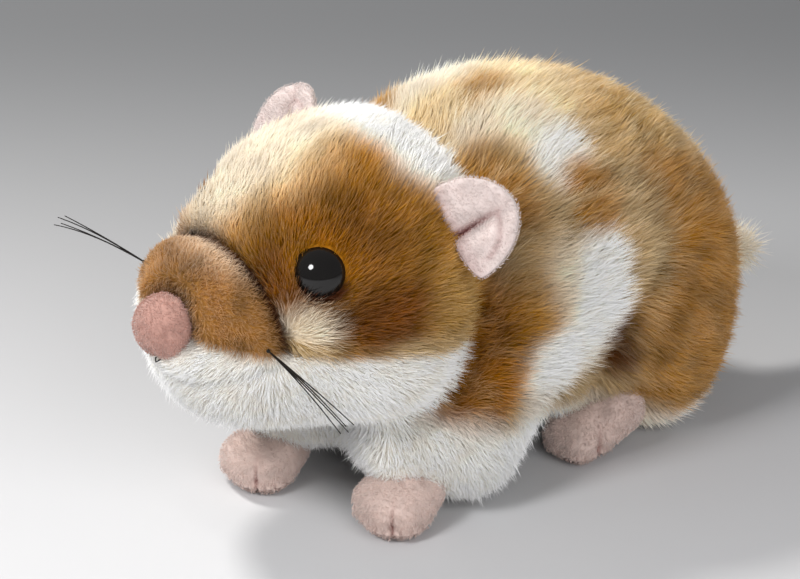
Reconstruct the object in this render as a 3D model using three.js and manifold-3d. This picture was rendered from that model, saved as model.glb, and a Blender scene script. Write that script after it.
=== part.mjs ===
// Plush toy hamster resting on its paws and haunches, in millimetres, +Z up.
// The nose points to -Y, the toy's left side is +X and the floor is Z = 0.
// Every solid reaches the tips of its pile. The origin is on the floor, under the middle of the toy.
import * as THREE from 'three';
import { mergeVertices } from 'three/addons/utils/BufferGeometryUtils.js';
import Module from 'manifold-3d';

const wasm = await Module();
wasm.setup();

// ---- driving dimensions ----
const backHeight = 91; // floor to the top of the back
const trunkWidth = 82;
const rumpY = 67; // rear of the rump, without the tail
const noseY = -91; // tip of the nose
const muzzleY = -86; // front of the muzzle, behind the nose
const headWidth = 70; // over the cheeks
const crownHeight = 88; // floor to the top of the head, before it is turned
const eyeDiameter = 13;
const noseWidth = 16;
const noseHeight = 14.5;
const earLength = 14; // from the seam to the rim
const earWidth = 23.5;
const earThickness = 3.4;
const earFold = 0.27; // rise of each half for its width
const earSewnDepth = 2.6;
const pawWidth = 17.5;
const whiskerLength = 31;
const whiskerDiameter = 0.6;
const seamGap = 0.3; // clear gap between neighbouring pieces
const pawGap = 0.6; // the same where a coarse mesh is cut by another, as at the paws and tail
const weldReach = 0.05; // corners nearer than this are one
const sides = { left: 1, right: -1 };

// ---- colours of the pile and trims ----
const finishes = {
  gold: { color: 0xc98b45, roughness: 0.95 },
  tan: { color: 0xb98a62, roughness: 0.95 },
  white: { color: 0xf2eee8, roughness: 0.95 },
  velour: { color: 0xe9c4be, roughness: 0.9 },
  eye: { color: 0x0b0a0a, roughness: 0.12 },
  nylon: { color: 0x1b1714, roughness: 0.4 },
};

// ---- fields: signed distances, joined softly and then meshed ----
const clamp01 = (value) => Math.min(1, Math.max(0, value));
const grown = (field, amount) => (point) => field(point) - amount;

function ball(centre, radii) {
  const middle = new THREE.Vector3(...centre);
  const size = new THREE.Vector3(...radii);
  return (point) => {
    const scaled = point.clone().sub(middle).divide(size);
    const slope = scaled.clone().divide(size).length();
    return slope < 1e-9 ? -size.x : (scaled.length() * (scaled.length() - 1)) / slope;
  };
}

function limb(start, end, startRadius, endRadius) {
  const root = new THREE.Vector3(...start);
  const run = new THREE.Vector3(...end).sub(root);
  return (point) => {
    const offset = point.clone().sub(root);
    const along = clamp01(offset.dot(run) / run.lengthSq());
    const radius = THREE.MathUtils.lerp(startRadius, endRadius, along);
    return offset.addScaledVector(run, -along).length() - radius;
  };
}

function softUnion(softness, ...fields) {
  return (point) => fields.map((field) => field(point)).reduce((near, next) => {
    const overlap = Math.max(softness - Math.abs(near - next), 0) / softness;
    return Math.min(near, next) - (overlap * overlap * softness) / 4;
  });
}

// ---- meshing: one vertex in each cell that the surface crosses, drawn onto the surface ----
function meshField(field, [low, high], cell) {
  const counts = low.map((value, axis) => Math.ceil((high[axis] - value) / cell) + 1);
  const strides = [1, counts[0], counts[0] * counts[1]];
  const cornerOf = (steps) => steps[0] + steps[1] * strides[1] + steps[2] * strides[2];
  const placeOf = (steps) => new THREE.Vector3(...low.map((value, axis) => value + steps[axis] * cell));
  const forEachCorner = (use) => {
    for (let k = 0; k < counts[2]; k++) {
      for (let j = 0; j < counts[1]; j++) {
        for (let i = 0; i < counts[0]; i++) use([i, j, k]);
      }
    }
  };
  const values = new Float32Array(counts[0] * counts[1] * counts[2]);
  forEachCorner((steps) => { values[cornerOf(steps)] = field(placeOf(steps)); });

  const points = [];
  const vertexOfCell = new Map();
  forEachCorner((steps) => {
    if (steps.some((step, axis) => step === counts[axis] - 1)) return;
    const sum = new THREE.Vector3();
    let crossings = 0;
    for (let edge = 0; edge < 12; edge++) {
      const axis = edge % 3;
      const start = [...steps];
      start[(axis + 1) % 3] += Math.floor(edge / 3) % 2;
      start[(axis + 2) % 3] += Math.floor(edge / 6);
      const here = values[cornerOf(start)];
      const there = values[cornerOf(start) + strides[axis]];
      if ((here < 0) === (there < 0)) continue;
      const crossing = placeOf(start);
      crossing.setComponent(axis, crossing.getComponent(axis) + (cell * here) / (here - there));
      sum.add(crossing);
      crossings++;
    }
    if (crossings === 0) return;
    vertexOfCell.set(cornerOf(steps), points.length);
    points.push(drawnOnto(field, sum.divideScalar(crossings), cell));
  });

  const faces = [];
  forEachCorner((steps) => {
    for (let axis = 0; axis < 3; axis++) {
      const across = (axis + 1) % 3;
      const up = (axis + 2) % 3;
      if (steps[across] === 0 || steps[up] === 0 || steps[axis] === counts[axis] - 1) continue;
      const corner = cornerOf(steps);
      const inside = values[corner] < 0;
      if (inside === values[corner + strides[axis]] < 0) continue;
      const ring = [0, strides[across], strides[across] + strides[up], strides[up]];
      const quad = ring.map((back) => vertexOfCell.get(corner - back));
      faces.push(...shortestSplit(points, inside ? quad : quad.reverse()));
    }
  });
  return toGeometry(points.flatMap((point) => point.toArray()), faces);
}

function drawnOnto(field, point, cell) {
  const reach = cell / 8;
  for (let pass = 0; pass < 3; pass++) {
    const value = field(point);
    const slope = new THREE.Vector3(...[0, 1, 2].map((axis) => {
      const ahead = point.clone();
      ahead.setComponent(axis, ahead.getComponent(axis) + reach);
      return (field(ahead) - value) / reach;
    }));
    const step = THREE.MathUtils.clamp(-value / slope.lengthSq(), -cell / 3, cell / 3);
    point.addScaledVector(slope, step);
  }
  return point;
}

function shortestSplit(points, [a, b, c, d]) {
  const cutFromA = points[a].distanceTo(points[c]) < points[b].distanceTo(points[d]);
  return cutFromA ? [a, b, c, a, c, d] : [a, b, d, b, c, d];
}

function toGeometry(positions, index) {
  const geometry = new THREE.BufferGeometry();
  geometry.setAttribute('position', new THREE.Float32BufferAttribute(positions, 3));
  geometry.setIndex(index);
  return geometry;
}

// ---- solids ----
function toSolid(geometry) {
  const bare = geometry.clone();
  bare.deleteAttribute('normal');
  bare.deleteAttribute('uv');
  const merged = mergeVertices(bare);
  return new wasm.Manifold(new wasm.Mesh({
    numProp: 3,
    vertProperties: new Float32Array(merged.attributes.position.array),
    triVerts: new Uint32Array(merged.index.array),
  }));
}

function fromSolid(solid) {
  const mesh = solid.getMesh();
  const positions = Array.from(mesh.vertProperties);
  return toGeometry(positions, weld(positions, Array.from(mesh.triVerts)));
}

// Corners that a cut has left closer together than the weld become one, and the faces between them go.
function weld(positions, index) {
  const keeper = positions.map((_, corner) => corner);
  const keptCorner = (corner) => (keeper[corner] === corner ? corner : keptCorner(keeper[corner]));
  const place = (corner) => new THREE.Vector3().fromArray(positions, corner * 3);
  index.forEach((corner, spot) => {
    const next = index[spot % 3 === 2 ? spot - 2 : spot + 1];
    if (place(corner).distanceTo(place(next)) > weldReach) return;
    keeper[Math.max(keptCorner(corner), keptCorner(next))] = Math.min(keptCorner(corner), keptCorner(next));
  });
  const faces = new Map();
  for (let start = 0; start < index.length; start += 3) {
    const face = index.slice(start, start + 3).map(keptCorner);
    const key = [...face].sort().join();
    if (new Set(face).size < 3) continue;
    if (faces.has(key)) faces.delete(key);
    else faces.set(key, face);
  }
  return [...faces.values()].flat();
}

function boxAround(point, reach) {
  return [point.map((value) => value - reach), point.map((value) => value + reach)];
}

const fieldSolid = (field, bounds, cell) => toSolid(meshField(field, bounds, cell));

function largestPiece(solid) {
  return solid.decompose().reduce((best, next) => (next.volume() > best.volume() ? next : best));
}

// The part of a body inside an egg-shaped cutter, and the rest of it with a seam gap between the two.
function partedByEgg(body, centre, radii) {
  const egg = (gap) => {
    const shape = new THREE.SphereGeometry(1, 20, 12).scale(...radii.map((radius) => radius + gap));
    return toSolid(shape.translate(...centre));
  };
  return [largestPiece(body.intersect(egg(0))), largestPiece(body.subtract(egg(seamGap)))];
}

// ---- head: its nose is raised and its right side is tipped up a little ----
const neckPivot = new THREE.Vector3(0, -20, 55);
const headPose = [-6, 5.8, 1.9].map(THREE.MathUtils.degToRad);
const headQuaternion = new THREE.Quaternion().setFromEuler(new THREE.Euler(...headPose, 'ZYX'));
const headUnturn = headQuaternion.clone().invert();
const toHead = (point) => point.clone().sub(neckPivot).applyQuaternion(headUnturn).add(neckPivot);
const onHead = (field) => (point) => field(toHead(point));

function placedOnHead(geometry, x, y, z) {
  const place = new THREE.Vector3(x, y, z).sub(neckPivot).applyQuaternion(headQuaternion).add(neckPivot);
  return geometry.applyQuaternion(headQuaternion).translate(place.x, place.y, place.z);
}

const halfHead = headWidth / 2;
const skull = [0, -34, 57];
const brow = [0, -51, 59];
const muzzle = [0, muzzleY + 23, 45];
const whiskerRoot = [23.4, -74.4, 48.7];
const eyePlace = [19.9, -60.3, 62.8];
const cheek = [halfHead * 0.42, -38, 42];
const cheekRadii = [halfHead * 0.6, 25, 20];
const chin = [0, -62, 32];
const headBounds = [[-45, -95, 12], [45, 8, 102]];
const headCell = 7;
const neckCell = 8;
const neckGap = 0.7;
const muzzleSeamY = -70.5; // at the corner of the mouth
const muzzleSeamLean = THREE.MathUtils.degToRad(14);
const lipZ = 45.5; // lower edge of the tan saddle at the nose
const jawSlope = THREE.MathUtils.degToRad(-3);

const headField = onHead(softUnion(
  12,
  ball(skull, [halfHead - 1, 31, crownHeight - skull[2]]),
  ball(cheek, cheekRadii),
  ball([-cheek[0], cheek[1], cheek[2]], cheekRadii),
  ball(brow, [27, 21, 20]),
  ball(muzzle, [26, 23, 20]),
  ball(chin, [18, 17, 12]),
));

// Blocks that take the white jaw from below its line, and the tan muzzle from ahead of its seam.
function jawBlock(gap) {
  const block = new THREE.BoxGeometry(200, 400, 100).translate(0, 200, gap - 50);
  return toSolid(placedOnHead(block.rotateX(jawSlope), 0, muzzleY, lipZ));
}

function muzzleBlock(gap) {
  const block = new THREE.BoxGeometry(200, 100, 200).translate(0, gap - 50, 0);
  return toSolid(placedOnHead(block.rotateX(muzzleSeamLean), 0, muzzleSeamY, lipZ));
}

// ---- trunk with haunches and legs ----
const halfTrunk = trunkWidth / 2;
const frontPaw = { left: [26, -43], right: [-10, -54.5] };
const wrist = { left: [21, -37, 14], right: [-10, -46, 13] };
const legEgg = { left: [28, -32, 10], right: [-18, -40, 8] };
const legEggRadii = [28, 26, 30];
const thighEgg = [38, 38, 18];
const thighEggRadii = [28, 27, 38];
const hindPaw = { left: [24, 17], right: [-24, 17] };
const trunkBounds = [[-58, -72, -12], [58, 84, 104]];
const trunkCell = 10;

const haunch = (side) => ball([side * 20, 38, 28], [16, 23, 32]);

function frontLeg(name) {
  const side = sides[name];
  const elbow = [side * 24, -22, 13];
  return softUnion(8, limb([side * 22, -12, 38], elbow, 16, 12.5), limb(elbow, wrist[name], 12.5, 12));
}

const trunkField = softUnion(
  12,
  ball([0, 5, backHeight - 41], [halfTrunk - 1, 45, 41]),
  ball([0, 27, 43], [halfTrunk - 3, rumpY - 27, 38]),
  ball([0, -16, 42], [halfTrunk - 8, 28, 36]),
  haunch(1),
  haunch(-1),
  frontLeg('left'),
  frontLeg('right'),
);

// ---- velour trims ----
function frontPawField(name) {
  const [x, y] = frontPaw[name];
  const lobe = pawWidth / 2 - 5;
  return softUnion(
    3,
    ball([x - lobe, y, 5.5], [5.8, 7.5, 6.5]),
    ball([x + lobe, y, 5.5], [5.8, 7.5, 6.5]),
    ball([x, y + 6, 7.5], [8, 8, 6.5]),
  );
}

function hindPawField(name) {
  const [x, y] = hindPaw[name];
  const side = sides[name];
  return softUnion(
    4,
    ball([x - side * 3.5, y - 6, 5], [4.5, 6, 5]),
    ball([x + side * 3, y - 5, 5.5], [4.5, 6, 5]),
    limb([x - side, y - 2, 6], [x + side * 2, y + 6, 11], 6.5, 7),
  );
}

// Where each ear is sewn on, the way it points and the way its hollow side looks. No two sit quite alike.
const ears = {
  left: { root: [29.1, -29.2, 71.3], out: [0.51, 0.5, 0.7], hollow: [0.44, -0.78, 0.43] },
  right: { root: [-29, -32.4, 69.3], out: [-0.34, 0.34, 0.88], hollow: [0.03, -1, -0.08] },
};

// An ear is a velour disc, flat where it is sewn on and folded along its middle.
function earSolid(name, gap) {
  const out = new THREE.Vector3(...ears[name].out).normalize();
  const hollow = new THREE.Vector3(...ears[name].hollow);
  hollow.addScaledVector(out, -hollow.dot(out)).normalize();
  const across = hollow.clone().cross(out);
  const ear = new THREE.SphereGeometry(1, 16, 8).rotateX(Math.PI / 2);
  const spots = ear.attributes.position;
  for (let index = 0; index < spots.count; index++) {
    const spot = new THREE.Vector3().fromBufferAttribute(spots, index);
    const x = spot.x > 0 ? spot.x * (earLength + gap) : spot.x * (earSewnDepth + gap);
    const y = spot.y * (earWidth / 2 + gap);
    const wall = Math.sign(spot.z) * Math.abs(spot.z) ** 0.4 * (earThickness / 2 + gap);
    spots.setXYZ(index, x, y, wall + Math.abs(y) * earFold);
  }
  ear.applyMatrix4(new THREE.Matrix4().makeBasis(out, across, hollow));
  return toSolid(placedOnHead(ear, ...ears[name].root));
}

function noseSolid(gap) {
  const depth = 7;
  const tip = new THREE.SphereGeometry(1, 14, 8).scale(noseWidth / 2 + gap, depth + gap, noseHeight / 2 + gap);
  return toSolid(placedOnHead(tip, 0, noseY + depth, muzzle[2] + 0.5));
}

function mouthStitch(gap) {
  const stitch = new THREE.CapsuleGeometry(0.4 + gap, 2.4, 1, 6).rotateX(THREE.MathUtils.degToRad(25));
  return toSolid(placedOnHead(stitch, 0, muzzleY + 2, muzzle[2] - 8));
}

function eyeSolid(name, gap) {
  const button = new THREE.SphereGeometry(eyeDiameter / 2 + gap, 12, 8);
  return toSolid(placedOnHead(button, sides[name] * eyePlace[0], eyePlace[1], eyePlace[2]));
}

// Straight nylon strands that fan out from one knot, sunk in the seam of the muzzle.
function whiskerKnot(name, gap) {
  const knot = new THREE.SphereGeometry(0.9 + gap, 8, 6);
  return toSolid(placedOnHead(knot, sides[name] * whiskerRoot[0], whiskerRoot[1], whiskerRoot[2]));
}

function whiskers(name) {
  const side = sides[name];
  let tuft = whiskerKnot(name, 0);
  for (let strand = 0; strand < 4; strand++) {
    const rod = new THREE.CylinderGeometry(whiskerDiameter * 0.42, whiskerDiameter / 2, whiskerLength, 5);
    rod.translate(0, whiskerLength / 2, 0);
    rod.rotateZ(-side * THREE.MathUtils.degToRad(91 + strand * 1.8));
    rod.rotateY(side * THREE.MathUtils.degToRad(4 + (strand % 2) * 3));
    tuft = tuft.add(toSolid(placedOnHead(rod, side * whiskerRoot[0], whiskerRoot[1], whiskerRoot[2])));
  }
  return tuft;
}

const group = new THREE.Group();
function add(name, solid, finish) {
  const mesh = new THREE.Mesh(fromSolid(solid), new THREE.MeshStandardMaterial({ metalness: 0, ...finish }));
  mesh.name = name;
  group.add(mesh);
}

const aboveFloor = toSolid(new THREE.BoxGeometry(400, 400, 400).translate(0, 0, 200));
const tailField = limb([0, 58, 30], [4, 84, 29], 6, 4.3);
const tailBounds = [[-12, 46, 14], [16, 94, 42]];
const velourCell = 4;
const tailCell = 4.5;

let body = fieldSolid(trunkField, trunkBounds, trunkCell).intersect(aboveFloor);
body = largestPiece(body.subtract(fieldSolid(grown(headField, neckGap), headBounds, neckCell)));
body = body.subtract(fieldSolid(grown(tailField, pawGap), tailBounds, tailCell));
add('tail', fieldSolid(tailField, tailBounds, tailCell), finishes.white);

let wholeHead = fieldSolid(headField, headBounds, headCell);
wholeHead = wholeHead.subtract(noseSolid(seamGap)).subtract(mouthStitch(seamGap));
add('nose', noseSolid(0), finishes.velour);
add('mouth_stitch', mouthStitch(0), finishes.nylon);

for (const name of Object.keys(sides)) {
  const [pawX, pawY] = frontPaw[name];
  const [footX, footY] = hindPaw[name];
  const pawBounds = boxAround([pawX, pawY, 6], 20);
  const footBounds = boxAround([footX, footY, 8], 24);
  add(`${name}_front_paw`, fieldSolid(frontPawField(name), pawBounds, velourCell).intersect(aboveFloor), finishes.velour);
  add(`${name}_hind_paw`, fieldSolid(hindPawField(name), footBounds, velourCell).intersect(aboveFloor), finishes.velour);
  body = body.subtract(fieldSolid(grown(frontPawField(name), pawGap), pawBounds, velourCell));
  body = largestPiece(body.subtract(fieldSolid(grown(hindPawField(name), pawGap), footBounds, velourCell)));

  let leg;
  [leg, body] = partedByEgg(body, legEgg[name], legEggRadii);
  add(`${name}_front_leg`, leg, finishes.white);
  [leg, body] = partedByEgg(body, [sides[name] * thighEgg[0], thighEgg[1], thighEgg[2]], thighEggRadii);
  add(`${name}_hind_leg`, leg, finishes.gold);

  add(`${name}_ear`, earSolid(name, 0), finishes.velour);
  wholeHead = wholeHead.subtract(earSolid(name, seamGap));
  add(`${name}_eye`, eyeSolid(name, 0), finishes.eye);
  wholeHead = wholeHead.subtract(eyeSolid(name, seamGap));
  add(`${name}_whiskers`, whiskers(name), finishes.nylon);
  wholeHead = wholeHead.subtract(whiskerKnot(name, 0.6));
}
add('trunk', largestPiece(body), finishes.gold);
add('jaw', largestPiece(wholeHead.intersect(jawBlock(0))), finishes.white);
wholeHead = wholeHead.subtract(jawBlock(seamGap));
add('muzzle', largestPiece(wholeHead.intersect(muzzleBlock(0))), finishes.tan);
add('head', largestPiece(wholeHead.subtract(muzzleBlock(seamGap))), finishes.gold);

const middle = new THREE.Box3().setFromObject(group).getCenter(new THREE.Vector3());
group.position.set(-middle.x, -middle.y, 0);
group.updateMatrixWorld(true);

export default group;
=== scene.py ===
import math

import bmesh
import bpy
import numpy as np
from mathutils import Matrix, Vector, noise
from mathutils.bvhtree import BVHTree


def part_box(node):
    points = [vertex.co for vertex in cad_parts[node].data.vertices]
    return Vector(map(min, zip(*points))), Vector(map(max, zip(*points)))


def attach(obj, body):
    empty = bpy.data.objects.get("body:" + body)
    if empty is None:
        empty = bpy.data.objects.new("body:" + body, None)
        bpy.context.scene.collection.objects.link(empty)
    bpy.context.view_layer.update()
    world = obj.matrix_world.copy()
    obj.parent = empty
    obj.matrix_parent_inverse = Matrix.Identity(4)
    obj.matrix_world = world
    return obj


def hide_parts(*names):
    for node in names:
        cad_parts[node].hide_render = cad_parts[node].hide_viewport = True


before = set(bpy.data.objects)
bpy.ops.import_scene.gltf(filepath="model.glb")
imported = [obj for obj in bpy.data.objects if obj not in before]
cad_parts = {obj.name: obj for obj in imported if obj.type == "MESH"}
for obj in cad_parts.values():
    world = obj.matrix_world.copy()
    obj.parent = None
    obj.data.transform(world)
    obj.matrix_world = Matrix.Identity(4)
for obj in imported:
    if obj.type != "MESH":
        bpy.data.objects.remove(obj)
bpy.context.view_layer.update()       # the toy in metres: floor at z 0, nose towards -Y, its left side +X
mm = 0.001
noise.seed_set(4)       # without it, noise_vector starts from the clock


def linearColour(hexText):
    shares = [int(hexText[spot:spot + 2], 16) / 255 for spot in (1, 3, 5)]
    return [s / 12.92 if s <= 0.04045 else ((s + 0.055) / 1.055) ** 2.4 for s in shares]


def addNode(tree, kind, inputs=None, **settings):
    node = tree.nodes.new(kind)
    for name, value in settings.items():
        setattr(node, name, value)
    for name, value in (inputs or {}).items():
        if isinstance(value, bpy.types.NodeSocket):
            tree.links.new(value, node.inputs[name])
        else:
            node.inputs[name].default_value = value
    return node


def newMaterial(name, traits):
    # the traits are what is the same all over the surface
    material = bpy.data.materials.new(name)
    material.use_nodes = True
    tree = material.node_tree
    surface = tree.nodes["Principled BSDF"]
    for trait, value in traits.items():
        surface.inputs[trait].default_value = value
    return material, tree, surface


def carried(tree, name, output="Fac"):
    # what the mesh carries under that name
    return addNode(tree, 'ShaderNodeAttribute', attribute_name=name).outputs[output]


def grain(tree, scale, detail):
    # soft noise, with so many bumps to the metre
    place = addNode(tree, 'ShaderNodeTexCoord').outputs["Object"]
    bumps = addNode(tree, 'ShaderNodeTexNoise', {"Vector": place, "Scale": scale, "Detail": detail})
    return bumps.outputs[0]


def ranged(tree, value, low, high, newLow, newHigh):
    ends = {"From Min": low, "From Max": high, "To Min": newLow, "To Max": newHigh}
    return addNode(tree, 'ShaderNodeMapRange', {"Value": value, **ends}).outputs[0]


def toned(tree, colour, value, saturation=1.0):
    traits = {"Color": colour, "Value": value, "Saturation": saturation}
    return addNode(tree, 'ShaderNodeHueSaturation', traits).outputs["Color"]


def newObject(name, mesh, material=None):
    made = bpy.data.objects.new(name, mesh)
    bpy.context.scene.collection.objects.link(made)
    if material:
        mesh.materials.clear()
        mesh.materials.append(material)
    return made


def meshFrom(sheet, name):
    mesh = bpy.data.meshes.new(name)
    sheet.to_mesh(mesh)
    sheet.free()
    return mesh


def ballMesh(name, spokes, rings):
    sheet = bmesh.new()
    bmesh.ops.create_uvsphere(sheet, u_segments=spokes, v_segments=rings, radius=1)
    ball = meshFrom(sheet, name)
    # its faces come in another order each time, so they are put in a fixed one
    spots = [tuple(vertex.co) for vertex in ball.vertices]
    faces = [list(face.vertices) for face in ball.polygons]
    starts = [face.index(min(face)) for face in faces]
    ball.clear_geometry()
    ball.from_pydata(spots, [], sorted(face[at:] + face[:at] for face, at in zip(faces, starts)))
    return ball


def asPlainMesh(maker, name):
    # the evaluated result of an object's modifiers, as a mesh of its own; the maker is removed
    bpy.context.view_layer.update()
    graph = bpy.context.evaluated_depsgraph_get()
    mesh = bpy.data.meshes.new_from_object(maker.evaluated_get(graph), depsgraph=graph)
    mesh.name = name
    bpy.data.objects.remove(maker)
    return mesh


def smoothShare(low, high, value):
    share = np.clip((value - low) / (high - low), 0, 1)
    return share * share * (3 - 2 * share)


def groove(distance, width):
    # 1 where the distance is 0, fading away over the width
    return np.exp(-(distance / width) ** 2)


# ---- the head's own axes, found from the eyes and the nose ----
# Places on the head are in its own millimetres: x to the toy's left, y back, z up.
headMarks = {"eye": (19.9, -60.3, 62.8), "nose": (0.0, -84.0, 45.5), "whiskers": (23.4, -74.4, 48.7)}
eyeX, eyeY, eyeZ = headMarks["eye"]


def boxCentre(node):
    low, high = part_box(node)
    return (Vector(low) + Vector(high)) / 2


eyeMiddle = (boxCentre("left_eye") + boxCentre("right_eye")) / 2
headLeft = (boxCentre("left_eye") - boxCentre("right_eye")).normalized()
noseWay = (boxCentre("nose") - eyeMiddle).normalized()
noseDip = math.atan2(eyeZ - headMarks["nose"][2], eyeY - headMarks["nose"][1])
across = headLeft.cross(noseWay)
headBack = -math.cos(noseDip) * noseWay + math.sin(noseDip) * across
headUp = -math.sin(noseDip) * noseWay - math.cos(noseDip) * across
headAxes = np.array([headLeft, headBack, headUp])
headOrigin = np.array([0.0, eyeY, eyeZ])


def toHead(points):
    # metres in the toy's frame to the head's millimetres
    return (np.asarray(points) - np.array(eyeMiddle)) @ headAxes.T / mm + headOrigin


def fromHead(points):
    return (np.asarray(points) - headOrigin) * mm @ headAxes + np.array(eyeMiddle)


print("frame loaded, head axes found")

# ---- camera, floor and lights ----
cameraSet = {"azimuth": 53.5, "elevation": 24.0, "distance": 0.7, "lens": 136.08,
             "target": (-9.65 * mm, -13.25 * mm, 38.8 * mm), "nearest": 0.05}


def wayFrom(azimuth, elevation):
    # unit vector towards a viewer; azimuth 0 stands at -Y and 90 at +X
    a, e = math.radians(azimuth), math.radians(elevation)
    return Vector((math.sin(a) * math.cos(e), -math.cos(a) * math.cos(e), math.sin(e)))


def makeCamera():
    camera = bpy.data.objects.new("camera", bpy.data.cameras.new("camera"))
    back = wayFrom(cameraSet["azimuth"], cameraSet["elevation"])
    camera.location = Vector(cameraSet["target"]) + back * cameraSet["distance"]
    camera.rotation_euler = back.to_track_quat('Z', 'Y').to_euler()
    camera.data.lens = cameraSet["lens"]
    camera.data.clip_start = cameraSet["nearest"]
    bpy.context.scene.collection.objects.link(camera)
    bpy.context.scene.camera = camera


lightSet = {
    # azimuth, elevation, distance, size in metres, watts, colour
    "key": (-72, 51, 0.9, 0.18, 7.2, "#FFFDF9"),        # throws the shadow that falls to the right
    "catch": (11.5, 40, 0.8, 0.24, 3.8, "#FFFFFF"),     # the round light that the eyes reflect
    "fill": (80, 26, 0.85, 0.70, 4.2, "#FFFFFF"),
}
lightsAim = Vector((0, 0, 0.04))
studioAir = {"colour": "#F0F1F3", "strength": 0.24}     # light from all round


def makeLights():
    for name, (azimuth, elevation, distance, size, power, tint) in lightSet.items():
        lamp = bpy.data.lights.new(name, 'AREA')
        lamp.shape = 'DISK'
        lamp.size = size
        lamp.energy = power
        lamp.color = linearColour(tint)
        light = bpy.data.objects.new(name, lamp)
        way = wayFrom(azimuth, elevation)
        light.location = lightsAim + way * distance
        light.rotation_euler = way.to_track_quat('Z', 'Y').to_euler()
        light.visible_glossy = name == "catch"
        bpy.context.scene.collection.objects.link(light)
    world = bpy.data.worlds.new("studio")
    bpy.context.scene.world = world
    world.use_nodes = True
    air = world.node_tree.nodes["Background"].inputs
    air["Color"].default_value = (*linearColour(studioAir["colour"]), 1)
    air["Strength"].default_value = studioAir["strength"]
    bpy.context.scene.view_settings.view_transform = 'Standard'


# the paper's colour from near to far is painted light falloff
paperSet = {"size": 3, "near": "#C8C8CA", "far": "#767779", "start": -0.09, "end": 0.32,
            "way": (-0.80, 0.60, 0.0)}


def makeFloor():
    # studio paper, matt; its colour is painted pale under the toy and greyer towards the back, a painted
    # falloff of the light
    sheet = bmesh.new()
    bmesh.ops.create_grid(sheet, x_segments=1, y_segments=1, size=paperSet["size"])
    mesh = meshFrom(sheet, "floor")
    material, tree, surface = newMaterial("studio paper with painted falloff", {"Roughness": 0.9})
    place = addNode(tree, 'ShaderNodeTexCoord').outputs["Object"]
    depth = addNode(tree, 'ShaderNodeVectorMath', {0: place, 1: paperSet["way"]}, operation='DOT_PRODUCT')
    ends = {"From Min": paperSet["start"], "From Max": paperSet["end"]}
    share = addNode(tree, 'ShaderNodeMapRange', {"Value": depth.outputs["Value"], **ends},
                    interpolation_type='SMOOTHSTEP')
    near, far = ((*linearColour(paperSet[end]), 1) for end in ("near", "far"))
    shade = addNode(tree, 'ShaderNodeMix', {0: share.outputs[0], 6: near, 7: far}, data_type='RGBA')
    tree.links.new(shade.outputs[2], surface.inputs["Base Color"])
    newObject("floor", mesh, material)


makeCamera()
makeFloor()
makeLights()
print("camera, floor and lights placed")

# ---- the plush skin: one form in place of the furred solids, inside them by the depth of the pile ----
furNodes = ["head", "muzzle", "jaw", "trunk", "left_front_leg", "right_front_leg",
            "left_hind_leg", "right_hind_leg", "tail"]
trimNodes = ["nose", "left_eye", "right_eye", "left_front_paw", "right_front_paw",
             "left_hind_paw", "right_hind_paw"]
headNodes = {"head", "muzzle", "jaw"}
skinSet = {
    "cell": 2.1 * mm,       # remesh cell, which closes the seam gaps between the solids
    "smoothing": 12,        # rounds that take the flats off the solids
    "depthShare": 0.60,     # how much of the pile's length stands over the skin
    "neckFold": 3.4 * mm,   # how far the groove behind the cheeks is pulled in
    "haunchFold": 2.6 * mm,
    "muzzleSeam": 3.8 * mm,
    "noseSeam": 3.2 * mm,
    "lipFold": 1.5 * mm,
    "pawTuck": 3.0 * mm,    # how far the legs draw in above the paws
    "eyeDimple": 3.2 * mm,  # round the right eye, whose thread is drawn in tighter
    "muzzlePuff": 0.9 * mm,     # how far the stuffing swells the skin beside its seams
    "nosePuff": 1.0 * mm,
    "lipPuff": 0.7 * mm,
    "neckPuff": 0.8 * mm,
    "offFloor": 0.8 * mm,
}


def joinedMesh(name, nodes):
    sheet = bmesh.new()
    for node in nodes:
        sheet.from_mesh(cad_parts[node].data)
    bmesh.ops.remove_doubles(sheet, verts=sheet.verts, dist=0.001 * mm)
    return meshFrom(sheet, name)


def nodeTree(node):
    sheet = bmesh.new()
    sheet.from_mesh(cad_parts[node].data)
    tree = BVHTree.FromBMesh(sheet)
    sheet.free()
    return tree


def fetched(items, trait, width, kind=float):
    values = np.empty(len(items) * width, dtype=kind)
    items.foreach_get(trait, values)
    return values.reshape(-1, width)


def vertexArray(mesh):
    return fetched(mesh.vertices, "co", 3)


def vertexNormals(mesh):
    return fetched(mesh.vertex_normals, "vector", 3)


def edgeArray(mesh):
    return fetched(mesh.edges, "vertices", 2, int)


def moveVertices(mesh, spots):
    mesh.vertices.foreach_set("co", spots.ravel())
    mesh.update()


def evened(values, edges, rounds, share=0.5):
    # each value moves towards the mean of its neighbours
    values = np.array(values, dtype=float)
    flat = values.ndim == 1
    values = values[:, None] if flat else values
    both = np.concatenate([edges, edges[:, ::-1]])
    count = np.bincount(both[:, 0], minlength=len(values))[:, None]
    for _ in range(rounds):
        near = np.stack([np.bincount(both[:, 0], weights=values[both[:, 1], axis], minlength=len(values))
                         for axis in range(values.shape[1])], axis=1)
        values += share * (near / count - values)
    return values[:, 0] if flat else values


def keepLargest(mesh):
    sheet = bmesh.new()
    sheet.from_mesh(mesh)
    left = set(sheet.verts)
    groups = []
    while left:
        group, edge = set(), {left.pop()}
        while edge:
            group |= edge
            edge = {e.other_vert(v) for v in edge for e in v.link_edges} - group
        left -= group
        groups.append(group)
    keep = max(groups, key=len)
    bmesh.ops.delete(sheet, geom=[v for v in sheet.verts if v not in keep], context='VERTS')
    sheet.to_mesh(mesh)
    sheet.free()


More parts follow.
